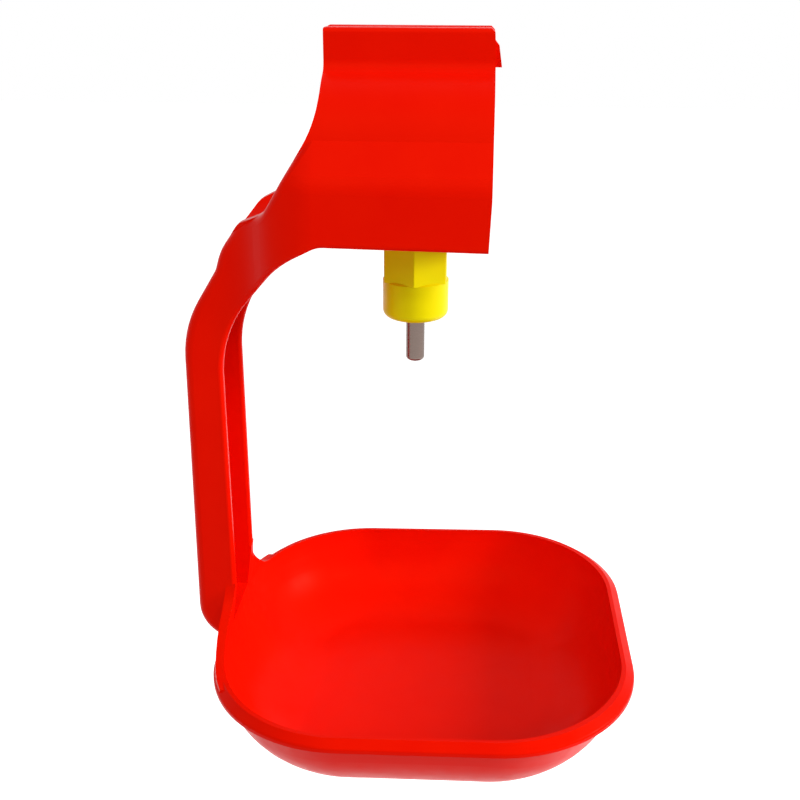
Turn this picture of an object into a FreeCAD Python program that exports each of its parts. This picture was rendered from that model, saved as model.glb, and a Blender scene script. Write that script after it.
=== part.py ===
import FreeCAD, Part
import math
import os
from FreeCAD import Vector

# Nipple drinker with a drip cup, for poultry. The origin is on the axis of the water pipe,
# straight above the nipple. +X runs along the pipe, -Y is the front, +Z is up. Millimetres.

# ---- driving dimensions: pipe clip ----
pipe_r = 12.5            # 25 mm water pipe
grip_wall = 2.0          # ring wall round the pipe
wall = 1.8               # moulded wall of the base, arm and flanges
clip_left = -14.6
clip_right = 12.4
relief = 0.4             # the ring's middle and the arm's saddle stand off the pipe by this
grip_from = -14.3        # the ring's left end opens to the saddle's radius here
relief_left = -7.0
relief_right = 7.0

ear_top = 20.2
ear_gap = 2.8            # slot between the two ears
ear_thick = 2.8
ear_foot_r = 2.2

base_front = 17.8        # half depth of the base below the ring
base_bottom = -11.6      # at the left; the underside falls by base_fall towards the right
base_fall = 0.45
shoulder_low = (17.8, -1.8)
shoulder_high = (13.9, 4.2)
shoulder_r = 5.0
end_lean = 0.3           # the right end leans in by this between end_lean_z and the base's foot
end_lean_z = -4.0

# ---- driving dimensions: arm and cup ----
arm_half = 8.7           # half width of the arm
arm_outer = -39.2
arm_outer_low = -40.0    # the outer web leans out a little towards the cup
arm_inner = -32.6
arm_edge_r = 1.6
flange_edge_r = 0.7
flare_top = -78.5        # where the flanges start to widen into the rim
ledge_top = -87.0        # the rim's top where it closes the arm's channel

rim_half_x = 36.65       # inner edge of the cup's rim
rim_half_y = 35.9
rim_corner_r = 23.4
cup_centre = 2.43
cup_rim = -89.13
cup_tilt = 1.27          # the cup's right side stands higher, degrees
cup_depth = 17.0
cup_draft = math.radians(18)
cup_foot_r = 16.5
hollow_depth = 15.0
hollow_draft = math.radians(16)
hollow_foot_r = 14.5
lip_out = 1.85           # the rim's lip stands this far outside the inner edge
lip_top = -1.1
lip_foot = -1.9
wall_out = 0.7           # the cup's wall under the lip
foot_shift = -1.0        # the cup's foot sits this far towards the arm

# ---- driving dimensions: nipple ----
seat_z = -14.5           # clip's boss, where the nipple's shoulder bears
boss_r = 6.4
tail_hole_r = 4.9
tail_r = 4.5             # root of the tail's thread
neck_r = 4.2             # plain neck inside the clip's hole
neck_top = -11.6
tail_top = -3.0
hex_flats = 10.5
hex_foot = -20.9
skirt_r = 5.65
skirt_foot = -27.5
skirt_mouth_r = 4.3
bore_r = 3.6             # bore that holds the valve insert
insert_foot = -18.5
insert_top = -7.5
lower_bore_r = 2.8
throat_r = 2.06
throat_z = -16.7
mid_hole_r = 1.2
mid_web = (-12.2, -10.6)
ball_r = 1.7
pivot_z = -15.0          # centre of the trigger pin's ball seat
head_r = 2.62
pin_r = 1.62
pin_tip = -35.6
valve_gap = 0.05         # play between the pieces of the valve train


# ---- helpers ----
def on_yz(u, v):
    return Vector(0, u, v)


def on_xz(u, v):
    return Vector(u, 0, v)


def on_xy(u, v):
    return Vector(u, v, 0)


def rounded_face(corners, place):
    """A flat face from (u, v, radius) corners, each rounded by a tangent arc."""
    count = len(corners)
    flat = [Vector(u, v, 0) for u, v, _ in corners]
    starts = []
    middles = []
    ends = []
    for i, (_, _, r) in enumerate(corners):
        here = flat[i]
        back = (flat[i - 1] - here).normalize()
        ahead = (flat[(i + 1) % count] - here).normalize()
        half = back.getAngle(ahead) / 2
        cut = r / math.tan(half)
        inward = (back + ahead).normalize() if r else Vector(0, 0, 0)
        starts.append(here + back * cut)
        ends.append(here + ahead * cut)
        middles.append(here + inward * (r / math.sin(half) - r))
    edges = []
    for i, (_, _, r) in enumerate(corners):
        a, m, b = [place(p.x, p.y) for p in (starts[i], middles[i], ends[i])]
        if r:
            edges.append(Part.Arc(a, m, b).toShape())
        following = starts[(i + 1) % count]
        if ends[i].distanceToPoint(following) > 1e-6:
            edges.append(Part.makeLine(b, place(following.x, following.y)))
    return Part.Face(Part.Wire(edges))


def prism_x(corners, x0, x1):
    face = rounded_face(corners, on_yz)
    face.translate(Vector(x0, 0, 0))
    return face.extrude(Vector(x1 - x0, 0, 0))


def prism_y(corners, y0, y1):
    face = rounded_face(corners, on_xz)
    face.translate(Vector(0, y0, 0))
    return face.extrude(Vector(0, y1 - y0, 0))


def prism_z(corners, z0, z1):
    face = rounded_face(corners, on_xy)
    face.translate(Vector(0, 0, z0))
    return face.extrude(Vector(0, 0, z1 - z0))


def rod_x(r, x0, x1):
    return Part.makeCylinder(r, x1 - x0, Vector(x0, 0, 0), Vector(1, 0, 0))


def rod_z(r, z0, z1):
    return Part.makeCylinder(r, z1 - z0, Vector(0, 0, z0))


def turned(profile):
    """A solid of revolution about Z from (r, z, corner radius) points."""
    return rounded_face(profile, on_xz).revolve(Vector(0, 0, 0), Vector(0, 0, 1), 360)


def mirrored(corners, flip):
    """Close a half outline with its mirror image; flip is (1, -1) across u, (-1, 1) across v."""
    return corners + [(u * flip[0], v * flip[1], r) for u, v, r in reversed(corners)]


def inset(chain, depth):
    """Move an open chain of corners to the left of its direction, keeping arcs concentric."""
    if not depth:
        return list(chain)
    lines = []
    for (u0, v0, _), (u1, v1, _) in zip(chain, chain[1:]):
        along = Vector(u1 - u0, v1 - v0, 0).normalize()
        left = Vector(-along.y, along.x, 0)
        lines.append((Vector(u0, v0, 0) + left * depth, along, left))
    moved = []
    for i, (u, v, r) in enumerate(chain):
        before = lines[max(i - 1, 0)]
        after = lines[min(i, len(lines) - 1)]
        turn = before[1].x * after[1].y - before[1].y * after[1].x
        if abs(turn) < 1e-9:
            point = Vector(u, v, 0) + before[2] * depth
        else:
            gap = after[0] - before[0]
            step = (gap.x * after[1].y - gap.y * after[1].x) / turn
            point = before[0] + before[1] * step
        bend = r - depth if turn > 0 else r + depth
        moved.append((point.x, point.y, max(bend, 0.3) if r else 0))
    return moved


def edges_where(shape, wanted):
    """Edges whose two faces have outward normals that wanted(normal, normal, middle) accepts."""
    found = []
    for edge in shape.Edges:
        faces = shape.ancestorsOfType(edge, Part.Face)
        if len(faces) != 2:
            continue
        middle = edge.valueAt((edge.FirstParameter + edge.LastParameter) / 2)
        normals = []
        for face in faces:
            u, v = face.Surface.parameter(middle)
            normals.append(face.normalAt(u, v))
        if wanted(normals[0], normals[1], middle) or wanted(normals[1], normals[0], middle):
            found.append(edge)
    return found


# ---- base and arm ----
def plan_section(depth):
    """Outline in XY: the base's full width, drawn in to the arm's width on the left."""
    chain = [
        (-45, -arm_half, 0),
        (-29.0, -arm_half, 12),
        (-20.5, -base_front, 12),
        (24, -base_front, 0),
    ]
    return mirrored(inset(chain, depth), (1, -1))


def plan_wire(depth, z):
    wire = rounded_face(plan_section(depth), on_xy).OuterWire
    wire.translate(Vector(0, 0, z))
    return wire


def base_block(depth):
    """The plan outline stood up, under a sloped shoulder that follows it round to the arm."""
    run = shoulder_low[0] - shoulder_high[0]
    rise = shoulder_high[1] - shoulder_low[1]
    slope = math.atan2(rise, run)
    foot = shoulder_low[1] - depth * math.tan(math.pi / 4 - slope / 2)
    width = shoulder_low[0] - 12.4
    top = plan_wire(depth + width, foot + width * math.tan(slope))
    body = Part.makeLoft([plan_wire(depth, foot), top], True, True)
    body = body.fuse(prism_z(plan_section(depth), -120, foot)).removeSplitter()
    bends = []
    for edge in body.Edges:
        box = edge.BoundBox
        if abs(box.ZMin - foot) < 0.01 and abs(box.ZMax - foot) < 0.01 and box.YMin * box.YMax > 0:
            bends.append(edge)
    return body.makeFillet(shoulder_r - depth, bends)


def outer_edge(depth):
    """Side view of the outer edge, from the ring's top down the saddle and the arm."""
    chain = [
        (clip_left, 16, 0),
        (clip_left, 7.2, 16),
        (-23.6, -7.5, 4),
        (-28.2, -9.5, 3.2),
        (-31.9, -14.6, 10),
        (-33.0, -18.1, 2),
        (arm_outer, -28.2, 20),
        (arm_outer_low, -87.2, 7.5),
        (-34.4, -90.6, 0),
    ]
    return inset(chain, depth)


def blank(depth, side):
    """The solid that both views share, one wall in from the outside where depth says so."""
    return prism_y(outer_edge(depth) + side, -20, 20).common(base_block(depth))


def base_and_arm():
    """Base, saddle web and arm as one channel of even wall, open below."""
    inner_edge = [
        (arm_inner, flare_top, 0),
        (arm_inner, -29.1, 21),
        (-20.9, -14.9, 18),
        (clip_left, base_bottom, 4),
        (clip_right, base_bottom - base_fall, 0),
        (clip_right, 16, 0),
    ]
    outside = blank(0, inner_edge)
    outside = outside.makeFillet(arm_edge_r, edges_where(outside, is_outer_corner))
    end = clip_right - wall
    open_edge = [(-26, -96, 0), (-26, -30, 0), (end, -30, 0), (end, 16, 0)]
    channel = blank(wall, open_edge).common(Part.makeBox(90, 60, 120, Vector(-50, -30, ledge_top)))
    keep = rod_x(pipe_r + grip_wall, -45, 20).fuse(rod_z(boss_r, seat_z, 0))
    body = outside.cut(channel.cut(keep))
    return body.makeFillet(flange_edge_r, edges_where(body, is_flange_edge))


def is_outer_corner(web, side, middle):
    """Where the outer web meets the front or back face, on the arm and the saddle."""
    faces_out = abs(web.y) < 0.01 and web.x * -0.8 + web.z * 0.6 > 0.1
    return faces_out and abs(side.y) > 0.5 and middle.x < -16 and middle.z < -5


def is_flange_edge(edge_face, side, middle):
    """Where a flange's long narrow edge face meets its outer or inner side."""
    faces_in = abs(edge_face.y) < 0.01 and edge_face.x * 0.8 - edge_face.z * 0.6 > 0.1
    off_the_web = middle.x > arm_inner - 0.1 and middle.z < middle.x + 10
    return faces_in and off_the_web and abs(side.y) > 0.5 and middle.x < -16 and middle.z > flare_top


# ---- pipe clip ----
def ring_and_ears():
    outer_r = pipe_r + grip_wall
    ring = rod_x(outer_r, clip_left, clip_right)
    inner_y = ear_gap / 2
    outer_y = inner_y + ear_thick
    ears = []
    for side in (-1, 1):
        outline = [
            (side * outer_y, 12.6, 0),
            (side * outer_y, ear_top, 0.8),
            (side * inner_y, ear_top, 0.5),
            (side * inner_y, 12.6, 0),
        ]
        ears.append(prism_x(outline, clip_left, clip_right))
    body = ring.fuse(ears).removeSplitter()
    foot_z = math.sqrt(outer_r ** 2 - outer_y ** 2)
    feet = []
    for edge in body.Edges:
        middle = edge.CenterOfMass
        if abs(abs(middle.y) - outer_y) < 0.01 and abs(middle.z - foot_z) < 0.01:
            feet.append(edge)
    body = body.makeFillet(ear_foot_r, feet)
    bevelled = [
        (clip_left, -20, 0),
        (clip_right, -20, 0),
        (clip_right, 16, 0),
        (clip_right - 0.2, ear_top - 0.6, 0.3),
        (clip_right - 0.8, ear_top, 0.3),
        (clip_left, ear_top, 0.3),
    ]
    return body.common(prism_y(bevelled, -20, 20))


def saddle():
    """The ring's wall carried on under the pipe to the arm, cut by the outer edge."""
    sheet = rod_x(pipe_r + grip_wall, -31, clip_left + 1)
    side = outer_edge(0)[:7] + [(arm_outer, -60, 0), (clip_right, -60, 0), (clip_right, 16, 0)]
    return sheet.common(prism_y(side, -20, 20)).common(prism_z(plan_section(0), -120, 20))


def catch():
    """Wedge on the end of the rear ear."""
    outline = [(12, 13.9, 0), (13.5, 13.9, 0), (13.0, 17.2, 0), (12.2, 18.2, 0), (12, 18.2, 0)]
    return prism_y(outline, 1.7, 4.0)


# ---- cup ----
def cup_outline(out, z, shift=0):
    """Rounded rectangle, this far outside the rim's inner edge and this high above the rim."""
    half_x = rim_half_x + out
    half_y = rim_half_y + out
    r = rim_corner_r + max(out, 0)
    corners = [(-half_x, -half_y, r), (half_x, -half_y, r), (half_x, half_y, r), (-half_x, half_y, r)]
    wire = rounded_face(corners, on_xy).OuterWire
    wire.translate(Vector(cup_centre + shift, 0, cup_rim + z))
    return wire


def between(low, high):
    """Solid between two of the cup's outlines, each given as (out, z) or (out, z, shift)."""
    return Part.makeLoft([cup_outline(*low), cup_outline(*high)], True, True)


def round_at(solid, z, r):
    """Round the edges that lie level at this height above the rim."""
    level = cup_rim + z
    ring = []
    for edge in solid.Edges:
        if abs(edge.BoundBox.ZMin - level) < 0.01 and abs(edge.BoundBox.ZMax - level) < 0.01:
            ring.append(edge)
    return solid.makeFillet(r, ring)


def tilted(solid):
    solid.rotate(Vector(cup_centre, 0, cup_rim), Vector(0, 1, 0), -cup_tilt)
    return solid


def hollow():
    """What the cup encloses, carried on above the rim so that it shapes the flare as well."""
    foot_out = -hollow_depth * math.tan(hollow_draft)
    body = between((foot_out, -hollow_depth, foot_shift), (0, 0)).fuse(between((0, 0), (-2.05, 13)))
    body = round_at(body.removeSplitter(), -hollow_depth, hollow_foot_r)
    return tilted(round_at(body, 0, 12))


def cup():
    """Bowl with a rim that falls outwards to a lip standing proud of the wall."""
    foot_out = wall_out - (cup_depth + lip_foot) * math.tan(cup_draft)
    root_out = wall_out + math.tan(cup_draft)
    bowl = between((foot_out, -cup_depth, foot_shift), (root_out, lip_foot + 1))
    bowl = round_at(bowl, -cup_depth, cup_foot_r)
    lip = between((lip_out, lip_top), (0.35, 0)).fuse(between((lip_out, lip_foot), (lip_out, lip_top)))
    lip = round_at(lip.removeSplitter(), lip_top, 0.5)
    return tilted(bowl.fuse(lip).removeSplitter())


def flare():
    """The cup's wall carried up on either side of the channel to the arm's flanges."""
    inner = arm_half - wall
    front = mirrored([
        (0.5, ledge_top, 0),
        (inner, ledge_top, 0),
        (inner, flare_top, 0),
        (arm_half, flare_top, 0),
        (arm_half, -80.6, 6),
        (19.9, -89.75, 5),
        (24, -90.1, 0),
        (24, -92, 0),
    ], (-1, 1))
    return tilted(between((1.6, -1.5), (-0.15, 13))).common(prism_x(front, -45, -25))


def end_trim():
    """Side view that gives the clip's right end its lean."""
    low = clip_right - end_lean * (end_lean_z + 20) / (end_lean_z - base_bottom)
    side = [
        (-60, -120, 0),
        (60, -120, 0),
        (60, -30, 0),
        (low, -20, 0),
        (clip_right, end_lean_z, 0),
        (20, 13.5, 0),
        (20, 30, 0),
        (-60, 30, 0),
    ]
    return prism_y(side, -50, 50)


def drip_cup():
    """Clip, arm and cup, moulded in one piece."""
    body = base_and_arm().fuse([ring_and_ears(), saddle(), catch(), rod_z(boss_r, seat_z, -12)])
    body = body.fuse([flare(), cup()]).cut(hollow()).common(end_trim())
    slot = Part.makeBox(60, ear_gap, 12, Vector(-30, -ear_gap / 2, 10))
    bores = rod_x(pipe_r, -45, 20).fuse([
        rod_x(pipe_r + relief, -45, grip_from),
        rod_x(pipe_r + relief, relief_left, relief_right),
    ])
    body = body.cut(bores.fuse([slot, rod_z(tail_hole_r, -20, 0)]))
    return body.removeSplitter()


# ---- nipple ----
def hexagon(flats, z0, z1):
    r = flats / math.sqrt(3)
    corners = []
    for k in range(6):
        angle = math.radians(30 + 60 * k)
        corners.append((r * math.cos(angle), r * math.sin(angle), 0.25))
    return prism_z(corners, z0, z1)


def nipple_body():
    """Threaded tail, hexagon and skirt, bored for the valve and open below for the pin."""
    outside = turned([
        (0, tail_top, 0),
        (tail_r, tail_top, 0.6),
        (tail_r, neck_top, 0),
        (neck_r, neck_top, 0),
        (neck_r, hex_foot + 1, 0),
        (skirt_r, hex_foot, 0),
        (skirt_r, skirt_foot, 1.3),
        (0, skirt_foot, 0),
    ])
    outside = outside.fuse(hexagon(hex_flats, hex_foot, seat_z))
    inside = turned([
        (0, tail_top + 1, 0),
        (bore_r, tail_top + 1, 0),
        (bore_r, insert_foot - 1, 0),
        (2.85, insert_foot - 1, 0),
        (2.85, insert_foot - 2.2, 0),
        (3.6, insert_foot - 4.2, 1),
        (skirt_mouth_r, skirt_foot - 1, 0),
        (0, skirt_foot - 1, 0),
    ])
    return outside.cut(inside).removeSplitter()


def valve_insert():
    """Steel sleeve with a lower seat for the trigger pin and an upper seat for the ball."""
    outside = rod_z(bore_r, insert_foot, insert_top)
    lower = turned([
        (0, mid_web[0], 0),
        (lower_bore_r, mid_web[0], 0),
        (lower_bore_r, -15.8, 0),
        (throat_r, throat_z, 0),
        (2.5, insert_foot, 0),
        (2.7, insert_foot - 0.5, 0),
        (0, insert_foot - 0.5, 0),
    ])
    upper = turned([
        (0, insert_top + 0.5, 0),
        (2.4, insert_top + 0.5, 0),
        (2.4, mid_web[1] + 1.2, 0),
        (mid_hole_r, mid_web[1], 0),
        (mid_hole_r, mid_web[0] - 0.5, 0),
        (0, mid_web[0] - 0.5, 0),
    ])
    return outside.cut(lower.fuse(upper))


def seal_ring():
    return Part.makeTorus(bore_r - 0.5, 0.5, Vector(0, 0, insert_foot - 0.5))


def ball_centre():
    return mid_web[1] + math.sqrt(ball_r ** 2 - mid_hole_r ** 2) + valve_gap


def valve_ball():
    return Part.makeSphere(ball_r, Vector(0, 0, ball_centre()))


def valve_stem():
    """Push rod between the pin's head and the ball, with a collar that keeps it in."""
    foot = pivot_z + 0.8 + valve_gap
    top = ball_centre() - ball_r - valve_gap
    rod = turned([
        (0, top, 0),
        (0.85, top, 0.2),
        (0.85, foot + 0.85, 0),
        (1.6, foot + 0.85, 0),
        (1.6, foot + 0.45, 0),
        (0.85, foot + 0.45, 0),
        (0.85, foot, 0.6),
        (0, foot, 0),
    ])
    return rod


def trigger_pin():
    """Steel pin that hangs by its ball head on the insert's lower seat."""
    head = Part.makeSphere(head_r, Vector(0, 0, pivot_z))
    head = head.common(rod_z(head_r, pivot_z - head_r - 1, pivot_z + 0.8))
    shank = turned([(0, pivot_z, 0), (pin_r, pivot_z, 0), (pin_r, pin_tip, 0.7), (0, pin_tip, 0)])
    return head.fuse(shank).removeSplitter()


def inlet_cap():
    """Cap on the tail: it lets water in by three holes and keeps the ball down."""
    plug = rod_z(bore_r, insert_top, tail_top)
    disc_top = tail_top + 1.2
    disc = turned([(0, tail_top, 0), (4.2, tail_top, 0), (4.2, disc_top, 0.5), (0, disc_top, 0)])
    cap = plug.fuse(disc).cut(rod_z(2.4, insert_top - 1, insert_top + 1.1))
    for k in range(3):
        hole = rod_z(0.75, -12, 0)
        hole.translate(Vector(1.55, 0, 0))
        hole.rotate(Vector(0, 0, 0), Vector(0, 0, 1), 90 + 120 * k)
        cap = cap.cut(hole)
    return cap.removeSplitter()


os.makedirs("parts", exist_ok=True)
pieces = {
    "drip_cup": drip_cup(),
    "nipple_body": nipple_body(),
    "valve_insert": valve_insert(),
    "seal_ring": seal_ring(),
    "inlet_cap": inlet_cap(),
    "valve_ball": valve_ball(),
    "valve_stem": valve_stem(),
    "trigger_pin": trigger_pin(),
}
for name, shape in pieces.items():
    solid = shape.Solids[0]
    if not shape.isValid() or len(shape.Solids) != 1:
        print("check", name, "valid", shape.isValid(), "solids", len(shape.Solids))
    solid.exportStep("parts/" + name + ".step")
    box = solid.BoundBox
    print(name, round(solid.Volume, 1), "mm3", round(box.XMin, 2), round(box.XMax, 2),
          round(box.YMin, 2), round(box.YMax, 2), round(box.ZMin, 2), round(box.ZMax, 2))
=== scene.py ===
import math

import bpy
from mathutils import Matrix, Vector


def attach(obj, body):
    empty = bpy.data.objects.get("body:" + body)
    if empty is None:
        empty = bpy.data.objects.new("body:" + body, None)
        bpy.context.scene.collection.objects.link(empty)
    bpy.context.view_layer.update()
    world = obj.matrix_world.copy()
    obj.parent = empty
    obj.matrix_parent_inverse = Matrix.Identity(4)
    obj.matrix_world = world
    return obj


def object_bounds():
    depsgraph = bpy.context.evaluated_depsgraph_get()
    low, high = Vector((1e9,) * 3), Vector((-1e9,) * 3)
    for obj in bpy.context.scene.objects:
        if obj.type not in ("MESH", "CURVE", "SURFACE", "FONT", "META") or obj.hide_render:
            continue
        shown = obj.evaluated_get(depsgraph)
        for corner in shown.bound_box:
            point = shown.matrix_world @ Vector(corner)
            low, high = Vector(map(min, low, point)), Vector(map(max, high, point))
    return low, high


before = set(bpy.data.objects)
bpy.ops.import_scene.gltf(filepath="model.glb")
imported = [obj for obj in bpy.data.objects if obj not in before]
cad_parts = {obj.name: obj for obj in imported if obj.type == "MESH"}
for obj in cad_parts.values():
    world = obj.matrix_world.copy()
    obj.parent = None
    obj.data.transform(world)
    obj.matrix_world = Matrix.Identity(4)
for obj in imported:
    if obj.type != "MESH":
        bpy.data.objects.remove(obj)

cad_low, cad_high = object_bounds()

# The frame is in metres: X runs along the water pipe, -Y is the front, Z is up, and the origin
# is on the pipe's axis above the nipple.
MM = 0.001

# ---- view and stage ----
CAMERA_PLACE = Vector((0.00988, -0.18297, 0.03007))
CAMERA_PITCH = math.radians(21.86)     # down from the horizon
CAMERA_YAW = math.radians(3.92)        # towards the arm
CAMERA_ROLL = math.radians(0.18)
CAMERA_LENS = 49.5
CAMERA_SENSOR = 36.0
FLOOR_DROP = 0.25                      # floor's depth below the cup
STAGE_SIZE = 6.0
FLOOR_LIFT = 0.8                       # brings the lit floor up to white

# ---- light ----
TARGET = Vector((0.0, 0.0, -0.06))
KEY_FROM = Vector((0.92, -0.10, 0.38))
KEY_DISTANCE = 0.8
KEY_SIZE = 0.25
KEY_POWER = 5.5
FILL_FROM = Vector((-0.10, -0.70, 0.70))
FILL_DISTANCE = 1.0
FILL_SIZE = 0.7
FILL_POWER = 2.8
WINDOW_FROM = Vector((0.49, -0.62, 0.61))
WINDOW_DISTANCE = 0.8
WINDOW_SIZE = 0.07
WINDOW_POWER = 0.7
AMBIENT = 0.40

# ---- colours, linear ----
RED = (0.87, 0.007, 0.0, 1.0)
RED_DEEP = (0.82, 0.004, 0.0, 1.0)
RED_SHEEN = (1.0, 0.16, 0.05, 1.0)
YELLOW = (0.84, 0.74, 0.0, 1.0)
YELLOW_DEEP = (0.78, 0.66, 0.0, 1.0)
YELLOW_SHEEN = (1.0, 0.85, 0.2, 1.0)
STEEL = (0.20, 0.15, 0.13, 1.0)
RUBBER = (0.02, 0.02, 0.02, 1.0)
WHITE = (1.0, 1.0, 1.0, 1.0)
FLOOR_WHITE = (0.8, 0.8, 0.8, 1.0)

# ---- finish ----
RED_ROUGHNESS = 0.34
RED_SPECULAR = 0.08
YELLOW_ROUGHNESS = 0.36
YELLOW_SPECULAR = 0.2
CLOUD_SIZE = 9 * MM
WEAR_SIZE = 2.5 * MM
GRAIN_SIZE = 0.35 * MM
RING_SIZE = 0.5 * MM
DUST_SIZE = 0.6 * MM
BUMP_HEIGHT = 0.01 * MM
NOISE_SPAN = (0.3, 0.7)                # most of the noise lies between these

# ---- thread on the nipple's tail ----
THREAD_ROOT = 4.5 * MM
THREAD_CREST = 4.78 * MM
THREAD_FOOT = -10.9 * MM
THREAD_TOP = -4.1 * MM
THREAD_PITCH = 1.0 * MM
THREAD_STEPS = 48                      # steps in one turn
THREAD_RUN_OUT = 24                    # steps over which each end fades out
THREAD_SECTION = ((0.45, -0.1), (0.072, 1.0), (-0.072, 1.0), (-0.45, -0.1))


# ---- materials ----
def material(name):
    made = bpy.data.materials.new(name)
    made.use_nodes = True
    return made, made.node_tree.nodes, made.node_tree.links


def object_point(nodes):
    return nodes.new("ShaderNodeTexCoord").outputs["Object"]


def noise(nodes, links, point, size, detail=3.0):
    """Noise whose cells are about this size in metres."""
    made = nodes.new("ShaderNodeTexNoise")
    made.inputs["Scale"].default_value = 1.0 / size
    made.inputs["Detail"].default_value = detail
    links.new(point, made.inputs["Vector"])
    return made.outputs["Fac"]


def remap(nodes, links, value, low, high):
    """Spread the noise over low to high."""
    made = nodes.new("ShaderNodeMapRange")
    made.inputs["From Min"].default_value = NOISE_SPAN[0]
    made.inputs["From Max"].default_value = NOISE_SPAN[1]
    made.inputs["To Min"].default_value = low
    made.inputs["To Max"].default_value = high
    links.new(value, made.inputs["Value"])
    return made.outputs["Result"]


def mix_colour(nodes, links, factor, first, second):
    made = nodes.new("ShaderNodeMix")
    made.data_type = "RGBA"
    made.inputs["A"].default_value = first
    made.inputs["B"].default_value = second
    links.new(factor, made.inputs["Factor"])
    return made.outputs["Result"]


def moulded_plastic(name, pale, deep, roughness, specular, tint):
    """Moulded plastic: faint cloudiness in its colour, uneven gloss and a fine mould grain."""
    made, nodes, links = material(name)
    shader = nodes["Principled BSDF"]
    point = object_point(nodes)
    cloud = noise(nodes, links, point, CLOUD_SIZE)
    links.new(mix_colour(nodes, links, cloud, deep, pale), shader.inputs["Base Color"])
    wear = noise(nodes, links, point, WEAR_SIZE, 5.0)
    uneven = remap(nodes, links, wear, roughness - 0.04, roughness + 0.05)
    links.new(uneven, shader.inputs["Roughness"])
    shader.inputs["Specular IOR Level"].default_value = specular
    shader.inputs["Specular Tint"].default_value = tint
    grain = noise(nodes, links, point, GRAIN_SIZE, 2.0)
    bump = nodes.new("ShaderNodeBump")
    bump.inputs["Strength"].default_value = 0.05
    bump.inputs["Distance"].default_value = BUMP_HEIGHT
    links.new(grain, bump.inputs["Height"])
    links.new(bump.outputs["Normal"], shader.inputs["Normal"])
    return made


def turned_steel(name):
    """Bar-turned steel: fine rings round Z, drawn out by stretching the noise."""
    made, nodes, links = material(name)
    shader = nodes["Principled BSDF"]
    shader.inputs["Metallic"].default_value = 1.0
    shader.inputs["Base Color"].default_value = STEEL
    point = object_point(nodes)
    stretch = nodes.new("ShaderNodeMapping")
    stretch.inputs["Scale"].default_value = (0.15, 0.15, 4.0)
    links.new(point, stretch.inputs["Vector"])
    rings = noise(nodes, links, stretch.outputs["Vector"], RING_SIZE, 4.0)
    links.new(remap(nodes, links, rings, 0.22, 0.36), shader.inputs["Roughness"])
    bump = nodes.new("ShaderNodeBump")
    bump.inputs["Strength"].default_value = 0.15
    bump.inputs["Distance"].default_value = BUMP_HEIGHT
    links.new(rings, bump.inputs["Height"])
    links.new(bump.outputs["Normal"], shader.inputs["Normal"])
    return made


def seal_rubber(name):
    """Matt rubber with uneven dust."""
    made, nodes, links = material(name)
    shader = nodes["Principled BSDF"]
    shader.inputs["Base Color"].default_value = RUBBER
    dust = noise(nodes, links, object_point(nodes), DUST_SIZE)
    links.new(remap(nodes, links, dust, 0.55, 0.75), shader.inputs["Roughness"])
    return made


def tail_thread(finish):
    """The tail's thread: a ridge wound up a helix, whose ends run out into the tail.

    THREAD_SECTION gives the ridge's corners as (along the tail in pitches, out in thread depths).
    """
    turns = (THREAD_TOP - THREAD_FOOT) / THREAD_PITCH
    steps = int(turns * THREAD_STEPS)
    depth = THREAD_CREST - THREAD_ROOT
    vertices = []
    faces = []
    for k in range(steps + 1):
        angle = 2 * math.pi * k / THREAD_STEPS
        climb = THREAD_FOOT + THREAD_PITCH * k / THREAD_STEPS
        fade = min(1.0, k / THREAD_RUN_OUT, (steps - k) / THREAD_RUN_OUT)
        for along, out in THREAD_SECTION:
            r = THREAD_ROOT + depth * (out if out < 0 else out * fade)
            z = climb + along * THREAD_PITCH
            vertices.append((r * math.cos(angle), r * math.sin(angle), z))
        if k:
            start = 4 * (k - 1)
            for i in range(4):
                j = (i + 1) % 4
                faces.append((start + i, start + j, start + 4 + j, start + 4 + i))
    faces.append((0, 3, 2, 1))
    end = 4 * steps
    faces.append((end, end + 1, end + 2, end + 3))
    mesh = bpy.data.meshes.new("tail_thread")
    mesh.from_pydata(vertices, [], faces)
    mesh.materials.append(finish)
    piece = bpy.data.objects.new("tail_thread", mesh)
    bpy.context.scene.collection.objects.link(piece)
    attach(piece, "drinker")


def dress(node, finish):
    """Give a CAD node its finish."""
    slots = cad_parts[node].data.materials
    slots.clear()
    slots.append(finish)


# ---- stage, light and camera ----
def as_background(nodes, links):
    """1 for the rays that show the background: from the camera, in a gloss or through a pane."""
    path = nodes.new("ShaderNodeLightPath")
    seen = path.outputs["Is Camera Ray"]
    for other in ("Is Glossy Ray", "Is Transmission Ray"):
        either = nodes.new("ShaderNodeMath")
        either.operation = "MAXIMUM"
        links.new(seen, either.inputs[0])
        links.new(path.outputs[other], either.inputs[1])
        seen = either.outputs["Value"]
    return seen


def stage_floor():
    bpy.ops.mesh.primitive_plane_add(size=STAGE_SIZE, location=(0, 0, cad_low.z - FLOOR_DROP))
    floor = bpy.context.object
    floor.name = "floor"
    made, nodes, links = material("floor_white")
    shader = nodes["Principled BSDF"]
    shader.inputs["Base Color"].default_value = FLOOR_WHITE
    shader.inputs["Roughness"].default_value = 0.9
    shader.inputs["Emission Color"].default_value = WHITE
    lift = nodes.new("ShaderNodeMath")
    lift.operation = "MULTIPLY"
    lift.inputs[1].default_value = FLOOR_LIFT
    links.new(as_background(nodes, links), lift.inputs[0])
    links.new(lift.outputs["Value"], shader.inputs["Emission Strength"])
    floor.data.materials.append(made)


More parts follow.
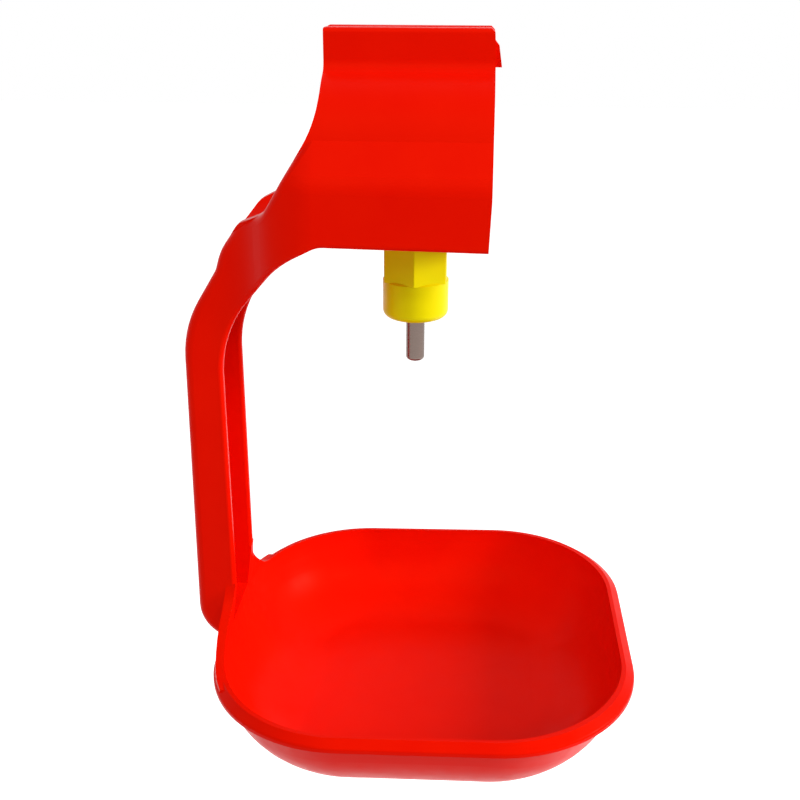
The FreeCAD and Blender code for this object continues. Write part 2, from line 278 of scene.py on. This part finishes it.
def world_light():
    """White where it shows as the background, and dimmer where it lights the object."""
    world = bpy.data.worlds.new("studio")
    bpy.context.scene.world = world
    world.use_nodes = True
    nodes = world.node_tree.nodes
    links = world.node_tree.links
    level = nodes.new("ShaderNodeMapRange")
    level.inputs["To Min"].default_value = AMBIENT
    level.inputs["To Max"].default_value = 1.0
    links.new(as_background(nodes, links), level.inputs["Value"])
    backdrop = nodes["Background"]
    backdrop.inputs["Color"].default_value = WHITE
    links.new(level.outputs["Result"], backdrop.inputs["Strength"])


def area_lamp(name, direction, distance, size, power):
    """A square lamp this far from the object's middle and aimed at it."""
    data = bpy.data.lights.new(name, "AREA")
    data.size = size
    data.energy = power
    lamp = bpy.data.objects.new(name, data)
    lamp.location = TARGET + direction.normalized() * distance
    lamp.rotation_mode = "QUATERNION"
    lamp.rotation_quaternion = direction.to_track_quat("Z", "Y")
    bpy.context.scene.collection.objects.link(lamp)


def camera():
    data = bpy.data.cameras.new("camera")
    data.lens = CAMERA_LENS
    data.sensor_width = CAMERA_SENSOR
    made = bpy.data.objects.new("camera", data)
    aim = Matrix.Rotation(CAMERA_YAW, 4, "Z") @ Matrix.Rotation(math.pi / 2 - CAMERA_PITCH, 4, "X")
    aim = aim @ Matrix.Rotation(CAMERA_ROLL, 4, "Z")
    made.matrix_world = Matrix.Translation(CAMERA_PLACE) @ aim
    bpy.context.scene.collection.objects.link(made)
    bpy.context.scene.camera = made


red = moulded_plastic("red_plastic", RED, RED_DEEP, RED_ROUGHNESS, RED_SPECULAR, RED_SHEEN)
yellow = moulded_plastic("yellow_plastic", YELLOW, YELLOW_DEEP,
                         YELLOW_ROUGHNESS, YELLOW_SPECULAR, YELLOW_SHEEN)
steel = turned_steel("turned_steel")
dress("drip_cup", red)
for node in ("nipple_body", "inlet_cap"):
    dress(node, yellow)
for node in ("valve_insert", "valve_ball", "valve_stem", "trigger_pin"):
    dress(node, steel)
dress("seal_ring", seal_rubber("seal_rubber"))
tail_thread(yellow)

stage_floor()
world_light()
area_lamp("key", KEY_FROM, KEY_DISTANCE, KEY_SIZE, KEY_POWER)
area_lamp("fill", FILL_FROM, FILL_DISTANCE, FILL_SIZE, FILL_POWER)
area_lamp("window", WINDOW_FROM, WINDOW_DISTANCE, WINDOW_SIZE, WINDOW_POWER)
camera()
bpy.context.scene.view_settings.view_transform = "Standard"
